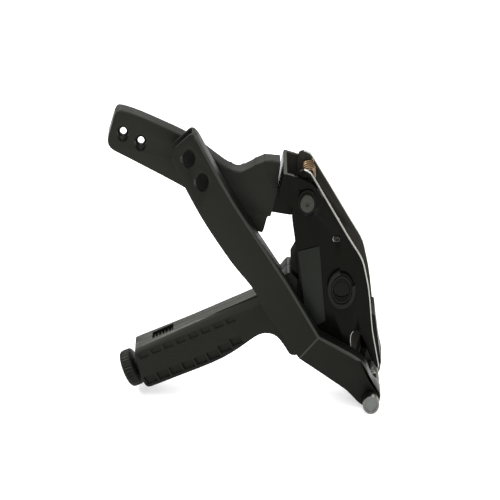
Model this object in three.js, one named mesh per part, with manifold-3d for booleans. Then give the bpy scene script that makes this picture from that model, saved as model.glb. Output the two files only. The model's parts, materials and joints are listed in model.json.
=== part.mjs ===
// A hand-operated strapping tensioner: two side plates carry a feed wheel, two pawls, a nose
// anvil and a cutter; a pistol grip holds the tension adjuster; an upper handle pumps the feed
// wheel and a front lever works the cutter.  Millimetres, +Z up, +X towards the nose,
// -Y towards the side that carries the front lever.
import * as THREE from 'three';
import { mergeVertices } from 'three/addons/utils/BufferGeometryUtils.js';
import Module from 'manifold-3d';

const wasm = await Module();
wasm.setup();

// ---- driving dimensions --------------------------------------------------------------------------
const GAP = 0.3;                       // air between touching pieces
const PLATE_T = 3;                     // side plate thickness
const PLATE_OUT = 18;                  // mid-plane to the outer face of a side plate
const PLATE_IN = PLATE_OUT - PLATE_T;
const TOP_BOLT = [51.2, 192.6];        // hinge of the upper handle, X and Z
const SPRING_POST = [52.5, 209];
const WHEEL = [80.6, 107.4];           // main shaft
const WHEEL_R = 17;
const WHEEL_TEETH = 20;
const HOLD_PIN = [76.3, 155];
const CRANK_PIN = [62.5, 180];
const LOWER_PIN = [106.3, 9];          // hinge of the front lever
const LEVER_FRONT = -28;               // outer face of the front lever above its joggle
const LEVER_DEPTH = 13.5;
const LEVER_WALL = 2.4;
const JOGGLE = 6;                      // how far the lever steps outwards
const CREASE_ANGLE = 52;               // degrees, of both bend lines
const CREASE_1 = [16.3, 91.2];
const CREASE_2 = [45.6, 48.4];
const GRIP_HALF = 13.5;                // half the grip's thickness
const GRIP_START = [-87.5, 26.6];
const GRIP_ANGLE = 24.6;               // degrees above level
const KNOB_CENTRE = [-96.8, 18.6];
const KNOB_ANGLE = 24;
const KNOB_R = 16.2;
const ORIGIN = [2.512, -6.5, -1];    // bottom centre of the whole tool, in the dimensions above

// ---- helpers -------------------------------------------------------------------------------------
const rad = THREE.MathUtils.degToRad;

function solid(geometry) {
  const g = geometry.clone();
  g.deleteAttribute('normal');
  g.deleteAttribute('uv');
  const merged = mergeVertices(g, 1e-4);
  return new wasm.Manifold(new wasm.Mesh({
    numProp: 3,
    vertProperties: new Float32Array(merged.attributes.position.array),
    triVerts: new Uint32Array(merged.index.array),
  }));
}

function geometryOf(manifold) {
  const mesh = manifold.getMesh();
  const g = new THREE.BufferGeometry();
  g.setAttribute('position', new THREE.BufferAttribute(new Float32Array(mesh.vertProperties), 3));
  g.setIndex(new THREE.BufferAttribute(new Uint32Array(mesh.triVerts), 1));
  return g;
}

const cut = (base, ...tools) => geometryOf(tools.reduce((m, t) => m.subtract(solid(t)), solid(base)));
const join = (base, ...more) => geometryOf(more.reduce((m, t) => m.add(solid(t)), solid(base)));

// A closed outline in X and Z whose corners are rounded by the given radius.
function outline(points, radius = 0, segments = 3) {
  const shape = new THREE.Shape();
  const p = points.map(([x, z, r]) => ({ v: new THREE.Vector2(x, z), r: r ?? radius }));
  const out = [];
  p.forEach(({ v, r }, i) => {
    const a = p[(i + p.length - 1) % p.length].v;
    const b = p[(i + 1) % p.length].v;
    const la = Math.min(r, v.distanceTo(a) * 0.48);
    const lb = Math.min(r, v.distanceTo(b) * 0.48);
    if (la < 0.05 || lb < 0.05) {
      out.push(v);
      return;
    }
    const from = v.clone().lerp(a, la / v.distanceTo(a));
    const to = v.clone().lerp(b, lb / v.distanceTo(b));
    out.push(...new THREE.QuadraticBezierCurve(from, v, to).getPoints(segments));
  });
  shape.setFromPoints(out);
  return shape;
}

// A flat plate: the shape in X and Z, from y0 to y1.
function plate(shape, y0, y1) {
  const g = new THREE.ExtrudeGeometry(shape, { depth: y1 - y0, bevelEnabled: false, curveSegments: 10 });
  return g.rotateX(Math.PI / 2).translate(0, y1, 0);
}

const slab = (points, y0, y1, radius = 0) => plate(outline(points, radius), y0, y1);

function disc([x, z], radius, y0, y1, sides = 24) {
  return new THREE.CylinderGeometry(radius, radius, y1 - y0, sides).translate(x, (y0 + y1) / 2, z);
}

function oval([x, z], rx, rz, y0, y1, sides = 28) {
  return new THREE.CylinderGeometry(1, 1, y1 - y0, sides).scale(rx, 1, rz).translate(x, (y0 + y1) / 2, z);
}

function block(x0, x1, y0, y1, z0, z1) {
  return new THREE.BoxGeometry(x1 - x0, y1 - y0, z1 - z0)
    .translate((x0 + x1) / 2, (y0 + y1) / 2, (z0 + z1) / 2);
}

// A bar with a constant section in Y and Z, from x0 to x1.
function bar(section, x0, x1) {
  const g = new THREE.ExtrudeGeometry(outline(section), { depth: x1 - x0, bevelEnabled: false });
  const turn = new THREE.Matrix4().makeBasis(
    new THREE.Vector3(0, 1, 0), new THREE.Vector3(0, 0, 1), new THREE.Vector3(1, 0, 0));
  return g.applyMatrix4(turn).translate(x0, 0, 0);
}

// A turned piece on the Y axis: the profile is a list of [radius, y] and closes on the axis.
function turned(profile, [x, z], sides = 24) {
  return new THREE.LatheGeometry(profile.map(([r, y]) => new THREE.Vector2(r, y)), sides)
    .translate(x, 0, z);
}

class Helix extends THREE.Curve {
  constructor(radius, length, turns) {
    super();
    Object.assign(this, { radius, length, turns });
  }
  getPoint(t, target = new THREE.Vector3()) {
    const a = t * this.turns * Math.PI * 2;
    return target.set(this.radius * Math.cos(a), (t - 0.5) * this.length, this.radius * Math.sin(a));
  }
}

// A wire spring on the Y axis, centred at the origin.
function coil(radius, wire, length, turns, steps = 10) {
  const section = new THREE.Shape().absarc(0, 0, wire / 2, 0, Math.PI * 2);
  return new THREE.ExtrudeGeometry(section, {
    extrudePath: new Helix(radius, length, turns), steps: Math.round(turns * steps),
    curveSegments: 3, bevelEnabled: false,
  });
}

const tool = new THREE.Group();
const finishes = {
  plate: [0x1d1d1a, 0.3, 0.5], lever: [0x2d2f2c, 0.5, 0.35], grip: [0x2a2c29, 0.6, 0],
  steel: [0xb9bcbc, 0.28, 1], dark: [0x33332f, 0.4, 0.8], bronze: [0x8a5f3c, 0.35, 1],
  label: [0x3a3c39, 0.55, 0],
};

function add(name, geometry, finish, parent = tool) {
  const [color, roughness, metalness] = finishes[finish];
  const material = new THREE.MeshStandardMaterial({ color, roughness, metalness });
  const mesh = new THREE.Mesh(geometry, material);
  mesh.name = name;
  parent.add(mesh);
  return mesh;
}

// ---- side plates ---------------------------------------------------------------------------------
const plateOutline = [
  [44, 219.5, 5], [53, 219.5, 5], [70, 187], [88.3, 152, 14], [98, 136, 14], [101, 122, 10],
  [104.4, 104, 20], [107.4, 67, 14], [109.4, 56, 14], [114, 29, 2], [111.4, 29.5, 1],
  [104.4, 44, 6], [98.6, 62, 6], [93.8, 68, 6], [89, 62, 6], [91, 30, 8], [99, 21, 5],
  [108, 21, 5], [115.5, 13, 7], [113.5, 1, 7], [104, 0, 7], [90, 6, 8], [62, 48, 10],
  [48.5, 76, 8], [45.8, 106, 8], [42.8, 143.6, 8], [38.3, 178, 6], [43, 200, 6],
];
const plateHoles = [
  [TOP_BOLT, 5.3], [SPRING_POST, 2.8], [WHEEL, 9.3], [HOLD_PIN, 2.8], [LOWER_PIN, 4.8],
];

// The rear plate closes the throat and reaches a little further over the nose.
const rearOutline = [
  [44, 219.5, 5], [53.4, 219.5, 5], [71.2, 187], [89.8, 152, 14], [99, 136, 14], [102, 122, 10],
  [105.5, 104, 20], [109.2, 67, 14], [111.6, 54, 14], [116.8, 30, 3], [117.2, 13, 7], [115, 0.4, 7],
  [104, 0, 7], [90, 6, 8], [62, 48, 10], [48.5, 76, 8], [45.8, 106, 8], [42.8, 143.6, 8],
  [38.3, 178, 6], [43, 200, 6],
];

function sidePlate(points, y0, y1) {
  const holes = plateHoles.map(([c, r]) => disc(c, r, y0 - 1, y1 + 1, 24));
  return cut(slab(points, y0, y1, 3), ...holes);
}
add('side_plate_front', sidePlate(plateOutline, -PLATE_OUT, -PLATE_IN), 'plate');
add('side_plate_rear', sidePlate(rearOutline, PLATE_IN, PLATE_OUT), 'plate');

// ---- distance pieces between the plates ----------------------------------------------------------
const inside = PLATE_IN - GAP;
add('spacer_upper', disc([50.5, 146], 4.2, -inside, inside, 20), 'dark');
add('spacer_nose', disc([98, 84], 3.6, -inside, inside, 20), 'dark');

// Root block: joins the grip to the plates, with a flat tang that reaches into the grip.
const rootBlock = [
  [37.6, 125.6, 1.5], [43.4, 137.5, 2], [50, 130, 3], [58, 110, 3], [58, 66, 6], [63, 52, 3], [56.8, 62, 3],
  [47.2, 76, 2], [44.1, 104, 1], [45.4, 118, 1],
];
const tang = [[5, 78, 2], [46, 96, 2], [50, 96], [50, 84], [44, 80, 2], [7, 66, 2]];
add('grip_tang', join(slab(rootBlock, -inside, inside), slab(tang, -3, 3)), 'dark');

// ---- top bracket ---------------------------------------------------------------------------------
const bracketOutline = [
  [31.6, 218.6, 2.5], [46, 213.8, 6], [58, 206.4, 8], [66, 194, 8], [64.5, 182, 8], [55, 177.5, 8],
  [44, 180, 8], [38, 188, 4], [26.6, 194.6, 2],
];
const bracketY = PLATE_OUT + GAP + 3;
const bracketHollow = [[36, 230], [80, 230], [80, 150], [20, 150], [29.8, 197.5], [34.4, 216]];
add('top_bracket', cut(
  slab(bracketOutline, -bracketY, bracketY, 4),
  slab(bracketHollow, -PLATE_OUT - GAP, PLATE_OUT + GAP, 1.5),
  disc(TOP_BOLT, 5.3, -40, 40),
), 'plate');

// ---- top pivot -----------------------------------------------------------------------------------
const washerT = 1.6;
const headY = bracketY + GAP + washerT + GAP;
const boltShank = disc(TOP_BOLT, 5, -headY - 1, headY + 7);
const boltHead = oval(TOP_BOLT, 5.6, 7.8, -headY - 3.2, -headY);
const boltRecess = oval(TOP_BOLT, 1.5, 2.2, -headY - 4, -headY - 1.8, 16);
add('top_pivot_bolt', cut(join(boltShank, boltHead), boltRecess), 'dark');
const topWasher = (y0, y1) => cut(oval(TOP_BOLT, 7.6, 11.2, y0, y1), disc(TOP_BOLT, 5.3, y0 - 1, y1 + 1));
add('top_washer_front', topWasher(-headY + GAP, -bracketY - GAP), 'dark');
add('top_washer_rear', topWasher(bracketY + GAP, headY - GAP), 'dark');
add('top_nut', cut(disc(TOP_BOLT, 8.6, headY, headY + 5.5, 6), disc(TOP_BOLT, 5.3, 0, 60)), 'dark');
add('spring_post', disc(SPRING_POST, 2.5, -PLATE_OUT, PLATE_OUT, 16), 'dark');
add('handle_return_spring', coil(4.9, 1.8, 19, 7, 9).translate(SPRING_POST[0], 0, SPRING_POST[1]), 'bronze');
const postCollar = (y0, y1) => cut(disc(SPRING_POST, 5.6, y0, y1, 20), disc(SPRING_POST, 2.8, -40, 40, 16));
add('spring_collar', postCollar(-inside, -11.2), 'dark');

// ---- tension handle: a steel core inside a broad moulded cover -----------------------------------
const coverHalf = 7;
const coreHalf = 4.5;
const coverOutline = [
  [-104.6, 269.8, 5], [-88.8, 264.9, 14], [-46.7, 243.6, 14], [-33.3, 232.2, 14], [-16, 217, 12],
  [-5.8, 211, 14], [4, 215.8, 12], [12.5, 221.3, 10], [20, 222.8, 8], [29.4, 220.8, 2],
  [26, 191, 4], [21.3, 170.4, 1], [18.6, 170.2, 1], [14.6, 153.6, 4], [-51, 198.8, 20],
  [-94.2, 224.7, 20], [-110.4, 233.9, 6], [-112.6, 241.2, 4],
];
const coreOutline = [
  [-2, 199, 2], [21, 192.6, 2], [42, 192.6], [58, 196, 4], [66, 186, 5], [66, 176, 5], [57, 174, 4],
  [47, 181, 3], [39, 170, 2], [23, 173, 2], [0, 180, 2],
];
const coreSlot = [[-2.3, 199.4], [21, 192.9], [50, 192.9], [50, 165], [23, 172.7], [-0.3, 179.6]];
const coverHoles = [[-99.6, 247.6], [-85.2, 239]];
const coverCuts = coverHoles.flatMap(([x, z]) => [
  oval([x, z], 4.8, 7.6, -10, 3.5, 24),
  oval([x, z - 3.3], 2.8, 3.9, -10, 10, 20),
]);
add('tension_handle_cover', cut(
  slab(coverOutline, -coverHalf, coverHalf, 3),
  slab(coreSlot, -coreHalf - GAP, coreHalf + GAP), ...coverCuts,
), 'lever');
add('tension_handle_core', cut(
  join(slab(coreOutline, -coreHalf, coreHalf), disc(TOP_BOLT, 9, -inside, inside, 24)),
  disc(TOP_BOLT, 5.3, -40, 40), disc(CRANK_PIN, 2.8, -40, 40, 16),
), 'dark');
add('crank_pin', disc(CRANK_PIN, 2.5, -9, 9, 16), 'dark');

// ---- feed wheel, shaft and pawls -----------------------------------------------------------------
function toothedWheel() {
  const points = [];
  for (let i = 0; i < WHEEL_TEETH; i += 1) {
    const a = (i / WHEEL_TEETH) * Math.PI * 2;
    const step = (Math.PI * 2) / WHEEL_TEETH;
    points.push([WHEEL[0] + WHEEL_R * Math.cos(a), WHEEL[1] + WHEEL_R * Math.sin(a)]);
    points.push([WHEEL[0] + (WHEEL_R - 2.4) * Math.cos(a + step * 0.15),
      WHEEL[1] + (WHEEL_R - 2.4) * Math.sin(a + step * 0.15)]);
  }
  return slab(points, -7, 7);
}
add('feed_wheel', cut(toothedWheel(), disc(WHEEL, 7.3, -10, 10)), 'steel');
add('main_shaft', turned([[0, -19.2], [7, -19.2], [7, 19.2], [0, 19.2]], WHEEL), 'dark');
for (const [name, side] of [['front', -1], ['rear', 1]]) {
  const y = [side * (PLATE_IN - 6), side * PLATE_OUT].sort((a, b) => a - b);
  add(`shaft_bush_${name}`, cut(disc(WHEEL, 9, ...y), disc(WHEEL, 7.3, -30, 30)), 'bronze');
  const c = [side * (PLATE_OUT + GAP), side * (PLATE_OUT + 3)].sort((a, b) => a - b);
  const recess = [side * (PLATE_OUT + 1.5), side * (PLATE_OUT + 9)].sort((a, b) => a - b);
  add(`bearing_cover_${name}`, cut(oval(WHEEL, 11.6, 18.6, ...c), oval(WHEEL, 8.2, 12.8, ...recess),
    oval(WHEEL, 7.4, 7.4, -40, 40)), 'plate');
}

const pawlOutline = ([px, pz], [tx, tz], root, tip) => {
  const d = new THREE.Vector2(tx - px, tz - pz);
  const n = new THREE.Vector2(-d.y, d.x).normalize();
  const back = d.clone().normalize().multiplyScalar(root);
  return [
    [px + n.x * root - back.x * 0.4, pz + n.y * root - back.y * 0.4, 4],
    [px - n.x * root - back.x * 0.4, pz - n.y * root - back.y * 0.4, 4],
    [tx - n.x * tip, tz - n.y * tip, 1], [tx + n.x * tip * 0.2, tz + n.y * tip * 0.2],
  ];
};
// The drive pawl is a fork: its two cheeks stand either side of the handle core.
const driveTip = [66.2, 121.2];
const driveShape = pawlOutline(CRANK_PIN, driveTip, 5.5, 3.4);
add('drive_pawl', cut(
  slab(driveShape, -8.2, 8.2), disc(CRANK_PIN, 2.8, -40, 40, 16),
  slab([[50, 200], [80, 200], [80, 160], [50, 160]], -coreHalf - GAP, coreHalf + GAP),
), 'steel');
add('holding_pawl', cut(
  slab(pawlOutline(HOLD_PIN, [84.6, 125.6], 5.5, 3), -6, 6), disc(HOLD_PIN, 2.8, -40, 40, 16),
), 'steel');
const holdEnd = PLATE_OUT + 0.8;
add('holding_pawl_pin', turned([
  [0, -holdEnd + 2], [1.4, -holdEnd + 2], [1.7, -holdEnd], [2.5, -holdEnd], [2.5, holdEnd], [1.7, holdEnd],
  [1.4, holdEnd - 2], [0, holdEnd - 2],
], HOLD_PIN, 16), 'dark');

// ---- nose ----------------------------------------------------------------------------------------
const anvilOutline = [
  [104.6, 80, 2], [109.4, 80, 1.5], [112.2, 57, 8], [115.6, 31.5, 1], [110.8, 31.5], [106.6, 50, 8],
];
add('nose_anvil', slab(anvilOutline, -inside, inside), 'dark');
add('strap_guide', slab([[96.6, 78, 1], [103.4, 78, 1], [104.4, 58, 1], [99.5, 62, 1]], -9, 9), 'dark');
add('cutter_blade', slab([[94.6, 30, 1], [101, 30, 1], [103.2, 43, 0], [98, 45, 1]], -10, 10), 'dark');

// ---- front (cut-off) lever -----------------------------------------------------------------------
const creaseDir = new THREE.Vector2(Math.cos(rad(CREASE_ANGLE)), Math.sin(rad(CREASE_ANGLE)));
const acrossCrease = new THREE.Vector2(creaseDir.y, -creaseDir.x);
const creaseStart = new THREE.Vector2(...CREASE_1).dot(acrossCrease);
const creaseEnd = new THREE.Vector2(...CREASE_2).dot(acrossCrease);
const along = ([x, z], t) => [x + creaseDir.x * t, z + creaseDir.y * t];
const crease1Right = along(CREASE_1, 32.2);
const crease2Right = along(CREASE_2, 27);

// Moves each vertex outwards between the two bend lines.
function joggled(geometry) {
  const p = geometry.attributes.position;
  for (let i = 0; i < p.count; i += 1) {
    const s = p.getX(i) * acrossCrease.x + p.getZ(i) * acrossCrease.y;
    const f = THREE.MathUtils.clamp((s - creaseStart) / (creaseEnd - creaseStart), 0, 1);
    p.setY(i, p.getY(i) - JOGGLE * f);
  }
  return geometry;
}

const leverBack = LEVER_FRONT + LEVER_DEPTH;
const leverUpper = [
  CREASE_1, crease1Right, [31, 125.7, 12], [13.5, 155.5, 20], [-13.2, 202, 20],
  [-38.4, 255.4, 6], [-43.2, 258.8, 3], [-57.7, 244.5, 3], [-60.2, 236, 4], [-49.5, 210, 14],
  [-34.5, 177.7, 20], [-9.7, 135.5, 14], [7.8, 112.5, 12],
];
const leverMiddle = [CREASE_1, CREASE_2, crease2Right, crease1Right];
const leverLower = [
  CREASE_2, [85, 17.8, 8], [90.4, 11.6, 4], [98.5, 1.4, 8], [108, 0.6, 9], [115, 6, 8],
  [114, 17, 6], [106.8, 25, 6], [101.5, 42, 7], [94, 49, 8], crease2Right,
];
const upperPocket = [
  along(CREASE_1, -30), along(CREASE_1, 29.6), [28.5, 124.9, 12], [11, 154.5, 20], [-15.7, 201, 20],
  [-41.7, 254.8, 4], [-52.7, 283.5], [-90.7, 248.5], [-90.7, 198.5], [-30.7, 128.5],
];
const middlePocket = [
  along(CREASE_1, -30), along(CREASE_2, -30), along(CREASE_2, 24.4), along(CREASE_1, 29.6),
];
const lowerPocket = [along(CREASE_2, -30), [86, 5], [86, 38, 6], [80, 56, 5], along(CREASE_2, 24.4)];
const pocketFront = LEVER_FRONT + LEVER_WALL;
const pocketBack = leverBack - LEVER_WALL;
const leverSections = [leverUpper, leverMiddle, leverLower]
  .map((shape) => solid(joggled(slab(shape, LEVER_FRONT, leverBack))));
const leverPockets = [upperPocket, middlePocket, lowerPocket]
  .map((shape) => solid(joggled(slab(shape, pocketFront, pocketBack))));
const headClearance = [[36, 230], [150, 230], [150, -40], [80, -40], [34, 60], [30, 118]];
const leverHoles = [[-45.3, 235.5], [-34.5, 213.9]];
const leverBody = leverSections[0].add(leverSections[1]).add(leverSections[2]);
const leverHollow = leverPockets[0].add(leverPockets[1]).add(leverPockets[2]);
add('cutoff_lever', cut(
  geometryOf(leverBody.subtract(leverHollow)),
  slab(headClearance, -PLATE_OUT - 2.2, 0),
  ...leverHoles.map((c) => oval(c, 5.1, 8.8, -40, LEVER_FRONT + 5, 24)),
  disc(LOWER_PIN, 4.8, -60, 0, 24),
), 'lever');

const pinEnd = -43.5;
const pinShoulder = LEVER_FRONT - JOGGLE - GAP;
const pinHead = [LOWER_PIN[0], LOWER_PIN[1] - 1.2];
const pinShank = disc(LOWER_PIN, 4.5, pinShoulder - 1, PLATE_OUT + 5, 28);
add('lever_pivot_pin', cut(
  join(oval(pinHead, 6.9, 8.8, pinEnd, pinShoulder), pinShank),
  oval(pinHead, 4.7, 6.5, pinEnd - 1, pinEnd + 0.8),
), 'steel');
add('lower_pin_clip', cut(disc(LOWER_PIN, 7.6, PLATE_OUT + GAP, PLATE_OUT + 2.2, 24),
  disc(LOWER_PIN, 4.8, 0, 60, 24)), 'dark');
add('lever_bush', cut(disc(LOWER_PIN, 7.4, -PLATE_OUT - 1.9, -PLATE_OUT - GAP, 24),
  disc(LOWER_PIN, 4.8, -60, 60, 24)), 'bronze');
add('lever_return_spring', coil(6.1, 2.1, 21, 7, 9).translate(LOWER_PIN[0], 2.5, LOWER_PIN[1]), 'steel');
const camLobe = [[93, 23, 2], [99, 26.5, 2], [109, 15], [101, 6]];
add('cutter_cam', cut(
  join(disc(LOWER_PIN, 8, -inside, -11, 24), slab(camLobe, -inside, -11)),
  disc(LOWER_PIN, 4.8, -40, 40, 24),
), 'dark');

// ---- pistol grip ---------------------------------------------------------------------------------
const gripFrame = new THREE.Matrix4()
  .makeTranslation(GRIP_START[0], 0, GRIP_START[1])
  .multiply(new THREE.Matrix4().makeRotationY(-rad(GRIP_ANGLE)));
const inGrip = (geometry) => geometry.applyMatrix4(gripFrame);
// The outline below is along and across the grip's own axis.
const gripOutline = [
  [1.2, 17.4, 5], [60, 19.4, 20], [117, 21.2, 10], [132, 23.6, 6], [152, 35, 4], [156, 24, 2], [146, 0, 2],
  [142, -22, 2], [126, -44, 3], [119.4, -41, 3], [119, -31, 8], [117, -17.4, 9], [108, -11, 9],
  [98, -12.2, 10], [86, -15.9, 12], [63.5, -20.7, 20], [-4.8, -20.2, 4], [-5.4, -12, 3], [-0.4, 13, 3],
];
const gripCavity = [
  [7, 12, 3], [118, 13, 6], [170, 16], [170, -8], [120, -6.5, 4], [98, -5.8, 6], [62, -12.8, 6],
  [0, -11.6, 3],
];
const GRIP_RIDGE = 7;                // half width of the flat on top
const PITCH = 11.7;                  // of the grooves along the grip
const FIRST_GROOVE = 6.4;
const LOWER_GROOVE = -18.4;
const windowU = [18, 38];            // indicator window along the grip

function gripShell(side) {
  const y = (a, b) => [side * a, side * b].sort((p, q) => p - q);
  const shell = slab(gripOutline, ...y(GAP / 2, GRIP_HALF), 2);
  const topChamfer = bar(side > 0
    ? [[GRIP_RIDGE, 26], [GRIP_RIDGE, 19.4], [GRIP_HALF + 1, 14], [GRIP_HALF + 1, 26]]
    : [[-GRIP_RIDGE, 26], [-GRIP_HALF - 1, 26], [-GRIP_HALF - 1, 14], [-GRIP_RIDGE, 19.4]], -20, 128);
  const cavity = slab(gripCavity, ...y(-2, GRIP_HALF - 3.2), 1);
  const cuts = [topChamfer, cavity];
  for (let i = 0; i < 8; i += 1) {
    const u = FIRST_GROOVE + i * PITCH;
    cuts.push(block(u - 3.9, u + 3.9, ...y(GRIP_HALF - 1.2, GRIP_HALF + 2), 8 + i * 0.1, 13.2 + i * 0.1));
    const low = LOWER_GROOVE + Math.max(0, i - 5) * 2.3;
    cuts.push(block(u - 9.4, u + 0.5, ...y(GRIP_HALF - 2.6, GRIP_HALF + 2), low, low + 8.8));
  }
  cuts.push(block(windowU[0], windowU[1], -5, 5, 10, 30));
  cuts.push(block(12.5, 54, -5, 5, 8, 16));
  return inGrip(cut(shell, ...cuts));
}
const shellHole = (geometry) => cut(geometry, knobBore(), headRelief());
function inKnob(geometry) {
  return geometry.applyMatrix4(new THREE.Matrix4()
    .makeTranslation(KNOB_CENTRE[0], 0, KNOB_CENTRE[1])
    .multiply(new THREE.Matrix4().makeRotationY(-rad(KNOB_ANGLE))));
}
function alongKnob(profile, sides) {
  const g = new THREE.LatheGeometry(profile.map(([r, y]) => new THREE.Vector2(r, y)), sides);
  return inKnob(g.rotateZ(-Math.PI / 2));
}
const knobBore = () => alongKnob([[0, 0], [6.6, 0], [6.6, 30], [0, 30]], 20);
// The shells stop where the plates and the root block begin.
const headRelief = () => slab([
  [45, 230], [150, 230], [150, -60], [66, -60], [56, 46], [46.5, 74], [43.6, 104], [45, 118],
], -40, 40);
add('grip_shell_front', shellHole(gripShell(-1)), 'grip');
add('grip_shell_rear', shellHole(gripShell(1)), 'grip');

// ---- tension adjuster inside the grip ------------------------------------------------------------
const knobBody = alongKnob([
  [0, -5], [13, -5], [15.3, -4.2], [KNOB_R, -2.4], [KNOB_R, 4.2], [15.1, 5], [6, 5.2], [6, 16], [0, 16],
], 32);
add('tension_knob', knobBody, 'grip');
add('tension_rod', alongKnob([[0, 16.3], [2.9, 16.3], [2.9, 78], [0, 78]], 14), 'steel');
const springGeometry = coil(5.2, 1.8, 26, 7, 8).rotateZ(-Math.PI / 2).translate(60.5, 0, 0);
add('tension_spring', inKnob(springGeometry), 'steel');
add('spring_seat', alongKnob([[3.2, 75.2], [7.2, 75.2], [7.2, 78], [3.2, 78], [3.2, 75.2]], 20), 'dark');

function indicator() {
  const body = block(14, 45, -4.6, 4.6, 10.4, 14);
  const leg = block(20, 26, -4.6, 4.6, -1, 11);
  const ribs = [];
  for (let u = 15.5; u < 43; u += 3.1) {
    ribs.push(block(u, u + 1.6, -4.6, 4.6, 13.8, 15.7));
  }
  return inGrip(join(body, leg, ...ribs));
}
const rodClearance = alongKnob([[0, 10], [3.3, 10], [3.3, 85], [0, 85]], 14);
add('tension_indicator', cut(indicator(), rodClearance), 'dark');

// ---- label plate, blank --------------------------------------------------------------------------
const labelOutline = [[43.9, 143.5, 1.5], [61.7, 148.7, 1.5], [67.4, 76, 1.5], [52.5, 68, 1.5]];
add('label_plate', slab(labelOutline, -PLATE_OUT - GAP - 0.5, -PLATE_OUT - GAP), 'label');

tool.position.set(-ORIGIN[0], -ORIGIN[1], -ORIGIN[2]);
const part = new THREE.Group();
part.add(tool);
export default part;
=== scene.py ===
import json
import math

import bmesh
import bpy
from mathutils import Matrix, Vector


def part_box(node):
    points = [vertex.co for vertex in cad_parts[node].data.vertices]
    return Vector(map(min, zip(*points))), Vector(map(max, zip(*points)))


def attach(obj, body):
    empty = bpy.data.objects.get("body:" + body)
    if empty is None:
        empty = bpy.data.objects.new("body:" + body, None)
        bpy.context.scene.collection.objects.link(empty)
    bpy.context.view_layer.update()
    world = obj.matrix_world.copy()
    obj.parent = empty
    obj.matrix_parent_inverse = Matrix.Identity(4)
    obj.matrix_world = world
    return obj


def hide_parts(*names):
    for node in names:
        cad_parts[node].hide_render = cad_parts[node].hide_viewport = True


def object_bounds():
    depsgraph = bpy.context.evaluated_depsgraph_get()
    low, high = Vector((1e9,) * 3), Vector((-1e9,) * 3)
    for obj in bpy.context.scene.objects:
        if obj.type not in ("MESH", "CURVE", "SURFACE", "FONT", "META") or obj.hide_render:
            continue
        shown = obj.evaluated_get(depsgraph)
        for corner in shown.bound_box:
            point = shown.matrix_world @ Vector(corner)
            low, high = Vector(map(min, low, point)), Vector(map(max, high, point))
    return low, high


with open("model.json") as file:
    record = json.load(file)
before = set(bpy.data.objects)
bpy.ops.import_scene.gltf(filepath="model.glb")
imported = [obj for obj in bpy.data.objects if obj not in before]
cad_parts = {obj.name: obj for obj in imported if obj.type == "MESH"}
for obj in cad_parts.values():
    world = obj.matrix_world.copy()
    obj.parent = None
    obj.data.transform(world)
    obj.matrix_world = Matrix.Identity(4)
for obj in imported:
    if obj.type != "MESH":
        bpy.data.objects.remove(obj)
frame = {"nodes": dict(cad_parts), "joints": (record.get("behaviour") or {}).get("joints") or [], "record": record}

MM = 0.001
cad_low, cad_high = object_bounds()
nodes = frame["nodes"]
joints = {j["name"]: j for j in frame["joints"]}
body_of_node = {n: b for b, ns in frame["record"]["behaviour"]["bodies"].items() for n in ns}
slot_of_node = {s["node"]: s["material_slot"] for s in frame["record"]["subparts"]}


def centre(node):
    low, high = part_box(node)
    return (low + high) / 2


# ---- camera, light and floor ---------------------------------------------------------------
CAMERA_RISE = math.radians(30)
CAMERA_DISTANCE = 2.6
FIELD_WIDTH = 0.4167                 # the width seen at the tool
SENSOR_WIDTH = 36
FLOOR_HALF = 6.0
FLOOR_DROP = 0.0002                  # keeps the floor just clear of the tool
TARGET = Vector((0.0017, 0.0, 0.1389))


def make_camera():
    data = bpy.data.cameras.new("camera")
    data.sensor_width = SENSOR_WIDTH
    data.lens = SENSOR_WIDTH * CAMERA_DISTANCE / FIELD_WIDTH
    data.clip_end = 20
    camera = bpy.data.objects.new("camera", data)
    back = Vector((0, -math.cos(CAMERA_RISE), math.sin(CAMERA_RISE)))
    camera.location = TARGET + back * CAMERA_DISTANCE
    camera.rotation_euler = (-back).to_track_quat("-Z", "Y").to_euler()
    bpy.context.scene.collection.objects.link(camera)
    bpy.context.scene.camera = camera


def area_light(name, place, size, power):
    data = bpy.data.lights.new(name, "AREA")
    data.shape = "RECTANGLE"
    data.size, data.size_y = size
    data.energy = power
    lamp = bpy.data.objects.new(name, data)
    lamp.location = place
    lamp.rotation_euler = (TARGET - Vector(place)).to_track_quat("-Z", "Y").to_euler()
    bpy.context.scene.collection.objects.link(lamp)


def make_lights():
    world = bpy.data.worlds.new("soft_box")
    world.use_nodes = True
    background = world.node_tree.nodes["Background"]
    background.inputs["Color"].default_value = (1, 1, 1, 1)
    background.inputs["Strength"].default_value = 0.4
    bpy.context.scene.world = world
    area_light("back_box", (0.1, 1.4, 1.25), (2.4, 1.0), 28)
    area_light("top_box", (0.1, -0.5, 1.5), (1.0, 1.0), 10)
    area_light("left_top_box", (-1.0, 0.3, 1.3), (0.9, 0.9), 42)
    area_light("right_box", (1.3, 0.2, 0.9), (0.8, 0.8), 12)
    area_light("front_box", (0.3, -1.6, 1.0), (1.6, 1.2), 12)


def make_floor():
    mesh = bpy.data.meshes.new("floor")
    corners = [(x * FLOOR_HALF, y * FLOOR_HALF, 0) for x, y in ((-1, -1), (1, -1), (1, 1), (-1, 1))]
    mesh.from_pydata(corners, [], [(0, 1, 2, 3)])
    floor = bpy.data.objects.new("floor", mesh)
    floor.location.z = cad_low[2] - FLOOR_DROP
    bpy.context.scene.collection.objects.link(floor)
    mat = bpy.data.materials.new("floor_white")
    mat.use_nodes = True
    shader = mat.node_tree.nodes["Principled BSDF"]
    shader.inputs["Base Color"].default_value = (0.6, 0.6, 0.6, 1)
    shader.inputs["Roughness"].default_value = 0.9
    shader.inputs["Specular IOR Level"].default_value = 0.0
    shader.inputs["Emission Color"].default_value = (1, 1, 1, 1)
    shader.inputs["Emission Strength"].default_value = 0.5
    mesh.materials.append(mat)


make_camera()
make_lights()
make_floor()
bpy.context.scene.view_settings.view_transform = "Standard"


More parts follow.
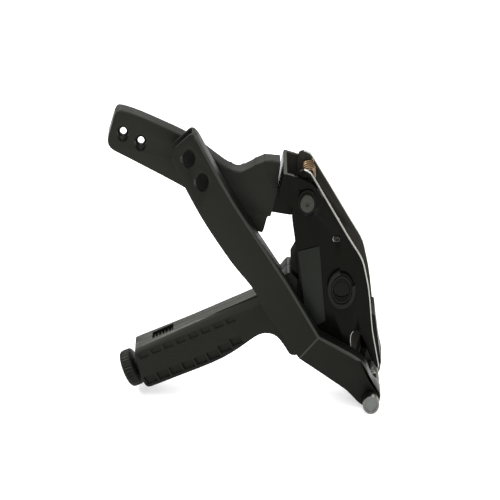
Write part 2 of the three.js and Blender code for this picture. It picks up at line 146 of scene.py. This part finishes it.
# ---- materials ------------------------------------------------------------------------------
PAINTED_SHADE_LOW, PAINTED_SHADE_HIGH = 0.03, 0.13       # the painted shade is full below the first height, gone above the second
TINT = 0.2                           # share by which patches vary the colour
PATCH_SCALE = 38


def surface(name, base, rough, metal=0.0, spec=0.5, grain=2600, grain_depth=0.02, rough_spread=0.08,
            stretch=(1, 1, 1), painted_shade=0.0):
    """Noise drives colour, roughness and bump; the last argument darkens the colour near the floor by that share,
    a painted shade for light falling off towards the floor.
    """
    mat = bpy.data.materials.new(name)
    mat.use_nodes = True
    tree = mat.node_tree
    shader = tree.nodes["Principled BSDF"]
    shader.inputs["Metallic"].default_value = metal
    shader.inputs["Specular IOR Level"].default_value = spec
    shader.inputs["Specular Tint"].default_value = (1.0, 1.0, 0.84, 1)
    link = tree.links.new

    def new(kind, **values):
        node = tree.nodes.new(kind)
        for key, value in values.items():
            setattr(node, key, value)
        return node

    coords = new("ShaderNodeTexCoord")
    mapping = new("ShaderNodeMapping")
    mapping.inputs["Scale"].default_value = stretch
    link(coords.outputs["Object"], mapping.inputs["Vector"])

    def noise(scale, detail):
        node = new("ShaderNodeTexNoise")
        node.inputs["Scale"].default_value = scale
        node.inputs["Detail"].default_value = detail
        link(mapping.outputs["Vector"], node.inputs["Vector"])
        return node

    fine, patches = noise(grain, 3.0), noise(PATCH_SCALE, 5.0)
    colour = new("ShaderNodeMix", data_type="RGBA")
    colour.inputs[6].default_value = [c * (1 - TINT) for c in base] + [1]
    colour.inputs[7].default_value = [c * (1 + TINT) for c in base] + [1]
    link(patches.outputs["Fac"], colour.inputs[0])
    height = new("ShaderNodeSeparateXYZ")
    link(coords.outputs["Object"], height.inputs["Vector"])
    # painted shade: the colour is scaled down at lower heights
    lit_share = new("ShaderNodeMapRange")
    lit_share.inputs["From Min"].default_value = PAINTED_SHADE_LOW
    lit_share.inputs["From Max"].default_value = PAINTED_SHADE_HIGH
    lit_share.inputs["To Min"].default_value = 1.0 - painted_shade
    link(height.outputs["Z"], lit_share.inputs["Value"])
    shaded = new("ShaderNodeVectorMath", operation="SCALE")
    link(colour.outputs[2], shaded.inputs[0])
    link(lit_share.outputs["Result"], shaded.inputs["Scale"])
    link(shaded.outputs["Vector"], shader.inputs["Base Color"])
    roughness = new("ShaderNodeMapRange")
    roughness.inputs["From Min"].default_value = 0.3
    roughness.inputs["From Max"].default_value = 0.7
    roughness.inputs["To Min"].default_value = max(0.02, rough - rough_spread)
    roughness.inputs["To Max"].default_value = rough + rough_spread
    link(patches.outputs["Fac"], roughness.inputs["Value"])
    link(roughness.outputs["Result"], shader.inputs["Roughness"])
    bump = new("ShaderNodeBump")
    bump.inputs["Strength"].default_value = 0.6
    bump.inputs["Distance"].default_value = grain_depth * MM
    link(fine.outputs["Fac"], bump.inputs["Height"])
    link(bump.outputs["Normal"], shader.inputs["Normal"])
    return mat


finish = {
    "plate_paint": surface("gloss_black_paint", (0.0024, 0.0024, 0.0021), 0.26, spec=0.05, grain=700,
                           grain_depth=0.03, rough_spread=0.05),
    "lever_paint": surface("satin_black_casting", (0.0090, 0.0094, 0.0082), 0.5, spec=0.12, grain=1900,
                           grain_depth=0.05),
    # the sheet lever's colour is darkened towards the floor as painted shade
    "lever_steel": surface("satin_black_sheet", (0.0062, 0.0067, 0.0057), 0.45, spec=0.11, grain=2300,
                           grain_depth=0.035, painted_shade=0.7),
    "grip_plastic": surface("moulded_grip", (0.0056, 0.0059, 0.0051), 0.5, spec=0.11, grain=1500,
                            grain_depth=0.06),
    "bright_steel": surface("ground_steel", (0.13, 0.135, 0.13), 0.3, metal=1.0, grain=2400,
                            grain_depth=0.012, stretch=(1, 0.12, 1)),
    "black_steel": surface("black_oxide", (0.0045, 0.0045, 0.0040), 0.38, spec=0.06, grain=1800,
                           grain_depth=0.02),
    "bronze": surface("oiled_bronze", (0.16, 0.105, 0.062), 0.34, metal=1.0, grain=1800, grain_depth=0.02),
    "label": surface("label_satin", (0.0072, 0.0083, 0.0074), 0.42, spec=0.12, grain=3000, grain_depth=0.01),
    # bright steel colour for edges that face the light: a painted highlight
    "nose_glint_look": surface("painted_glint_steel", (0.33, 0.33, 0.31), 0.36, metal=1.0, grain=900, grain_depth=0.02),
    # paint made lighter for faces deep between the plates: painted fill light
    "fill_lit_paint": surface("paint_with_painted_fill", (0.026, 0.0245, 0.021), 0.6, spec=0.12, grain=700,
                           grain_depth=0.03),
    "dull_black": surface("dull_black", (0.010, 0.010, 0.009), 0.6, spec=0.0, grain=1500, grain_depth=0.03),
    # a lighter rubbed finish for the bolt, pawl pin and indicator; on edges, creases and tops it is a painted
    # highlight
    "rubbed_and_highlight": surface("rubbed_and_painted_highlight", (0.020, 0.0205, 0.018), 0.42, spec=0.25, grain=1500,
                         grain_depth=0.03),
}
LOOKS = ("nose_glint_look", "rubbed_and_highlight", "fill_lit_paint")
GLINT_LOOK, HIGHLIGHT_LOOK, FILL_LOOK = 1, 2, 3          # their places after a piece's own finish


# ---- mesh helpers -----------------------------------------------------------------------------
MOST_SMOOTH_CORNERS = 6              # faces with more corners are the flats, and stay flat
CREASE = math.radians(35)            # edges bent more than this stay sharp in shading
SHARP_DEGREES = 33
COPLANAR = math.radians(0.5)
WELD_DISTANCE = 2e-6
SOFT_EDGE = 0.25                     # mm, on the CAD nodes that are kept


def smooth_with_creases(mesh):
    for polygon in mesh.polygons:
        polygon.use_smooth = polygon.loop_total <= MOST_SMOOTH_CORNERS
    mesh.set_sharp_from_angle(angle=CREASE)


def make_piece(name, mesh, body, slot, stands_for=(), look=None):
    piece = bpy.data.objects.new(name, mesh)
    bpy.context.scene.collection.objects.link(piece)
    for finish_name in (look or slot, *LOOKS):
        mesh.materials.append(finish[finish_name])
    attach(piece, body)
    if stands_for:
        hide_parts(*stands_for)
    return piece


def welded(node):
    """A bmesh copy of a CAD node with shared vertices and whole flat faces."""
    bm = bmesh.new()
    bm.from_mesh(nodes[node].data)
    bmesh.ops.remove_doubles(bm, verts=bm.verts, dist=WELD_DISTANCE)
    bmesh.ops.dissolve_limit(bm, angle_limit=COPLANAR, verts=bm.verts, edges=bm.edges)
    return bm


def angle_of(edge):
    return edge.calc_face_angle(0.0) if len(edge.link_faces) == 2 else 0.0


def round_edges(bm, width, segments=2, degrees=SHARP_DEGREES, chosen=None, look=-1, clamp=True):
    """Rounds the sharp edges, all or those chosen; look is the new faces' material place, -1 to inherit."""
    edges = [e for e in bm.edges if angle_of(e) > math.radians(degrees) and (chosen is None or chosen(e))]
    bmesh.ops.bevel(bm, geom=edges, offset=width * MM, segments=segments, profile=0.5, affect="EDGES",
                    clamp_overlap=clamp, loop_slide=True, material=look)
    bm.normal_update()


def finished(bm, name):
    mesh = bpy.data.meshes.new(name)
    bmesh.ops.recalc_face_normals(bm, faces=bm.faces)
    bm.to_mesh(mesh)
    bm.free()
    smooth_with_creases(mesh)
    return mesh


def refine(node, width=0.4, segments=2, broad=(), place_of=None, look=None):
    """Replaces a CAD node by a copy with rounded edges; broad lists first passes for round_edges,
    and place_of gives a face's material place, or None to leave it."""
    bm = welded(node)
    bm.normal_update()
    for options in broad:
        round_edges(bm, **options)
    round_edges(bm, width, segments)
    for face in bm.faces:
        place = place_of(face) if place_of else None
        if place:
            face.material_index = place
    name = node + "_fine"
    return make_piece(name, finished(bm, name), body_of_node[node], slot_of_node[node], (node,), look)


def dress(node):
    """Keeps a CAD node and gives it soft edges and its finish."""
    piece = nodes[node]
    piece.data.materials.clear()
    piece.data.materials.append(finish[slot_of_node[node]])
    weld = piece.modifiers.new("weld", "WELD")
    weld.merge_threshold = WELD_DISTANCE
    bevel = piece.modifiers.new("bevel", "BEVEL")
    bevel.width = SOFT_EDGE * MM
    bevel.segments = 2
    bevel.limit_method = "ANGLE"
    bevel.angle_limit = CREASE
    for polygon in piece.data.polygons:
        polygon.use_smooth = False


WIRE_SIDES = 10
COIL_STEPS = 26                      # points in one turn of a coil


def grid_mesh(name, rings, closed_along=False):
    """Joins equal rings of points into a tube; its ends are closed by a fan unless it joins itself."""
    bm = bmesh.new()
    rows = [[bm.verts.new(p) for p in ring] for ring in rings]
    count = len(rings[0])
    spans = len(rows) if closed_along else len(rows) - 1
    for i in range(spans):
        a, b = rows[i], rows[(i + 1) % len(rows)]
        for j in range(count):
            bm.faces.new((a[j], a[(j + 1) % count], b[(j + 1) % count], b[j]))
    if not closed_along:
        bm.faces.new(rows[0][::-1])
        bm.faces.new(rows[-1])
    return finished(bm, name)


def wire(name, path, radius):
    """A round wire along a list of points."""
    rings = []
    normal = None
    for i, point in enumerate(path):
        ahead = path[min(i + 1, len(path) - 1)] - path[max(i - 1, 0)]
        ahead.normalize()
        if normal is None:
            normal = ahead.orthogonal().normalized()
        normal = (normal - ahead * normal.dot(ahead)).normalized()
        side = ahead.cross(normal)
        rings.append([point + (normal * math.cos(a) + side * math.sin(a)) * radius
                      for a in (2 * math.pi * k / WIRE_SIDES for k in range(WIRE_SIDES))])
    return grid_mesh(name, rings)


def helix(middle, axis, radius, length, turns):
    """Points of a coil round axis, centred at middle."""
    axis = axis.normalized()
    u = axis.orthogonal().normalized()
    v = axis.cross(u)
    count = int(turns * COIL_STEPS)
    return [middle + axis * (length * (i / count - 0.5))
            + (u * math.cos(2 * math.pi * turns * i / count)
               + v * math.sin(2 * math.pi * turns * i / count)) * radius
            for i in range(count + 1)]


def fluted_lathe(name, profile, place, axis, sides, flutes, flute_depth, fluted):
    """Turns (radius, height) pairs in mm round an axis; flutes dent the rings of the given heights."""
    axis = axis.normalized()
    u = axis.orthogonal().normalized()
    v = axis.cross(u)
    rings = []
    for radius, height in profile:
        ring = []
        for k in range(sides):
            a = 2 * math.pi * k / sides
            r = radius
            if fluted[0] <= height <= fluted[1]:
                r -= flute_depth * max(0.0, math.cos(a * flutes)) ** 1.5
            ring.append(place + (u * math.cos(a) + v * math.sin(a)) * r * MM + axis * height * MM)
        rings.append(ring)
    return grid_mesh(name, rings)


# ---- which edges get a broad round ---------------------------------------------------------------
MID_Y = centre("spacer_upper").y
SQUARE = 0.9                         # a normal with this much of an axis faces along it
FOLD_OUT = 20 * MM                   # the bracket's folds lie further than this from the middle
INNER_FACE_REACH = 18.6 * MM               # and its inner faces nearer than this, which get lighter paint as painted fill light
CREASE_HIGH = 0.085                  # the lever's lower bend line is below this height
COVER_RIM_LOW = 0.205                # the handle cover's upper rim is above this one


def flat_and_side(edge):
    """The normals beside an edge: the one nearer the Y axis first."""
    a, b = (face.normal for face in edge.link_faces)
    return (a, b) if abs(a.y) > abs(b.y) else (b, a)


def middle_of(edge):
    return (edge.verts[0].co + edge.verts[1].co) / 2


def on_nose_edge(edge):
    """The nose-side boundary of a plate."""
    flat, side = flat_and_side(edge)
    return abs(flat.y) > SQUARE and side.x > 0.45


def on_fold(edge):
    """The two upright folds of the bracket."""
    flat, side = flat_and_side(edge)
    return abs(flat.y) > SQUARE and side.x < -0.8 and abs(middle_of(edge).y - MID_Y) > FOLD_OUT


# the bracket's inner faces get the lighter paint as painted fill light
def bracket_place(face):
    middle = face.calc_center_median()
    return FILL_LOOK if abs(middle.y - MID_Y) < INNER_FACE_REACH and face.normal.x > -0.5 else None


def plate_place(face):
    """Bright steel on the nose-side edge faces turned to the upper-right light, a painted highlight; lighter paint
    on the rear plate's inner face, painted fill light.
    """
    if abs(face.normal.y) < 0.3 and face.normal.x * 0.86 + face.normal.z * 0.5 > 0.5:
        return GLINT_LOOK
    return FILL_LOOK if face.normal.y < -SQUARE and face.calc_center_median().y > MID_Y else None


def on_lower_crease(edge):
    """The lower bend line across the face of the lever."""
    a, b = (face.normal for face in edge.link_faces)
    return max(a.y, b.y) < -SQUARE and middle_of(edge).z < CREASE_HIGH and edge.calc_length() > 12 * MM


def on_bracket_top(edge):
    return max(face.normal.z for face in edge.link_faces) > 0.75 and edge.calc_length() > 4 * MM


def on_lever_side(edge):
    """The long nose-side fold of the lever, and its head."""
    flat, side = flat_and_side(edge)
    return flat.y < -0.8 and side.x * 0.8 + side.z * 0.6 > 0.6 and edge.calc_length() > 2 * MM


def on_cover_rim(edge):
    """The upper rim of the handle cover."""
    flat, side = flat_and_side(edge)
    return (abs(flat.y) > SQUARE and side.z > 0.35 and middle_of(edge).z > COVER_RIM_LOW
            and edge.calc_length() > 1.8 * MM)


def grip_place(face):
    """The top of the grip gets the lighter finish, a painted highlight where light from above falls."""
    return HIGHLIGHT_LOOK if face.normal.z > 0.8 else None


def on_grip_ridge(edge):
    """The long edges along the top of the grip."""
    a, b = (face.normal for face in edge.link_faces)
    return min(a.z, b.z) > 0.2 and edge.calc_length() > 14 * MM


# ---- structure ------------------------------------------------------------------------------------
# the plates' nose-side edges get the bright steel colour as a painted highlight
nose_edge = dict(width=0.8, segments=3, chosen=on_nose_edge, look=GLINT_LOOK, clamp=False)
refine("side_plate_front", 0.35, 2, [nose_edge], plate_place)
refine("side_plate_rear", 0.35, 2, [nose_edge], plate_place)
refine("grip_tang", 0.4, 2, look="dull_black")
# the bracket's top edges get the lighter finish as a painted highlight
refine("top_bracket", 0.5, 3, [
    dict(width=2.6, segments=5, chosen=on_fold, clamp=False),
    dict(width=0.6, segments=2, chosen=on_bracket_top, look=HIGHLIGHT_LOOK),
], bracket_place)
refine("bearing_cover_rear", 0.5, 3)
refine("label_plate", 0.15, 2)
grip_ridge = dict(width=1.6, segments=4, degrees=15, chosen=on_grip_ridge, clamp=False)
for shell in ("grip_shell_front", "grip_shell_rear"):
    refine(shell, 0.6, 3, [grip_ridge], grip_place)
# the lever's lower crease and nose-side fold get the lighter finish as a painted highlight
refine("cutoff_lever", 0.35, 2, [
    dict(width=0.7, segments=2, degrees=3, chosen=on_lower_crease, look=HIGHLIGHT_LOOK),
    dict(width=2.0, segments=5, chosen=on_lever_side, look=HIGHLIGHT_LOOK, clamp=False),
])
refine("tension_handle_cover", 0.5, 3, [
    dict(width=2.0, segments=5, degrees=25, chosen=on_cover_rim, clamp=False),
])
refine("lever_pivot_pin", 0.6, 3)
refine("top_pivot_bolt", 0.7, 4, look="rubbed_and_highlight")
refine("top_washer_front", 0.3, 3)
refine("holding_pawl_pin", 0.2, 2, look="rubbed_and_highlight")
refine("tension_indicator", 0.3, 2, look="rubbed_and_highlight")


# ---- bearing cover: a seat, an open retaining ring and a lip ------------------------------
RING_STEPS = 72
RING_CORNER = 0.35                   # mm, how far the rounded front edges fall back


def oval_ring(name, middle, outer, inner, front, start, sweep):
    """A flat oval ring across the Y axis; sizes in mm, angles in degrees from +X towards +Z."""
    closed = sweep >= 360
    count = RING_STEPS if closed else RING_STEPS + 1
    eased, corner = front + 0.3 * RING_CORNER, front + RING_CORNER
    section = [(0.0, 0.0), (0.0, corner), (0.12, eased), (0.3, front), (0.7, front),
               (0.88, eased), (1.0, corner), (1.0, 0.0)]
    rings = []
    for i in range(count):
        a = math.radians(start + sweep * i / RING_STEPS)
        ring = []
        for share, y in section:
            rx = inner[0] + (outer[0] - inner[0]) * share
            rz = inner[1] + (outer[1] - inner[1]) * share
            ring.append(middle + Vector((rx * math.cos(a), y, rz * math.sin(a))) * MM)
        rings.append(ring)
    return grid_mesh(name, rings, closed)


cover_low, cover_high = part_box("bearing_cover_front")
cover_middle = Vector(((cover_low.x + cover_high.x) / 2, cover_high.y, (cover_low.z + cover_high.z) / 2))
for name, outer, inner, front, start, sweep, look in (
        ("bearing_cover_seat", (10.0, 16.0), (7.3, 7.3), -1.6, 0, 360, "plate_paint"),
        ("bearing_cover_retainer", (11.6, 18.6), (8.9, 14.2), -2.7, 98, 276, "lever_steel"),
        ("bearing_cover_lip", (8.3, 12.9), (7.3, 11.3), -2.5, 0, 360, "lever_steel")):
    mesh = oval_ring(name, cover_middle, outer, inner, front, start, sweep)
    make_piece(name, mesh, "root", "plate_paint", ("bearing_cover_front",), look)


# ---- knob with fine flutes ----------------------------------------------------------------------------
knob_joint = joints["tension_knob_turn"]
KNOB_SIDES, KNOB_FLUTES, FLUTE_DEPTH = 288, 36, 0.5
KNOB_PROFILE = [                     # (radius, height) in mm
    (8.6, -4.5), (9.4, -5), (13, -5), (14.8, -4.6), (15.8, -3.6), (16.2, -2.2), (16.2, 3.2),
    (15.7, 4.4), (14.6, 5), (6.2, 5.2), (6, 16)]
knob = fluted_lathe("tension_knob_fluted", KNOB_PROFILE, Vector(knob_joint["pos_m"]),
                    Vector(knob_joint["axis"]), KNOB_SIDES, KNOB_FLUTES, FLUTE_DEPTH, (-3.7, 4.5))
make_piece("tension_knob_fluted", knob, body_of_node["tension_knob"], "grip_plastic", ("tension_knob",))

for node in nodes:
    if not nodes[node].hide_render:
        dress(node)

# ---- springs -------------------------------------------------------------------------------------------
Y_AXIS = Vector((0, 1, 0))
SPRING_LEG = Vector((0, 0, 3)) * MM


def torsion_spring(node, name, wire_r, turns, slot, swell=0.0):
    """A coil in the room of a CAD node, made larger in radius by swell, with a short leg at each end."""
    low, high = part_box(node)
    middle = (low + high) / 2
    radius = (high.x - low.x) / 2 - wire_r * MM + swell * MM
    length = (high.y - low.y) - 2.4 * wire_r * MM
    path = helix(middle, Y_AXIS, radius, length, turns)
    path = ([path[0] + SPRING_LEG * t for t in (1.0, 0.5)] + path
            + [path[-1] + SPRING_LEG * t for t in (0.5, 1.0)])
    make_piece(name, wire(name, path, wire_r * MM), body_of_node[node], slot, (node,))


torsion_spring("handle_return_spring", "handle_spring_coil", 0.8, 5, "bronze")
torsion_spring("lever_return_spring", "lever_spring_coil", 0.85, 9, "bright_steel", 1.0)
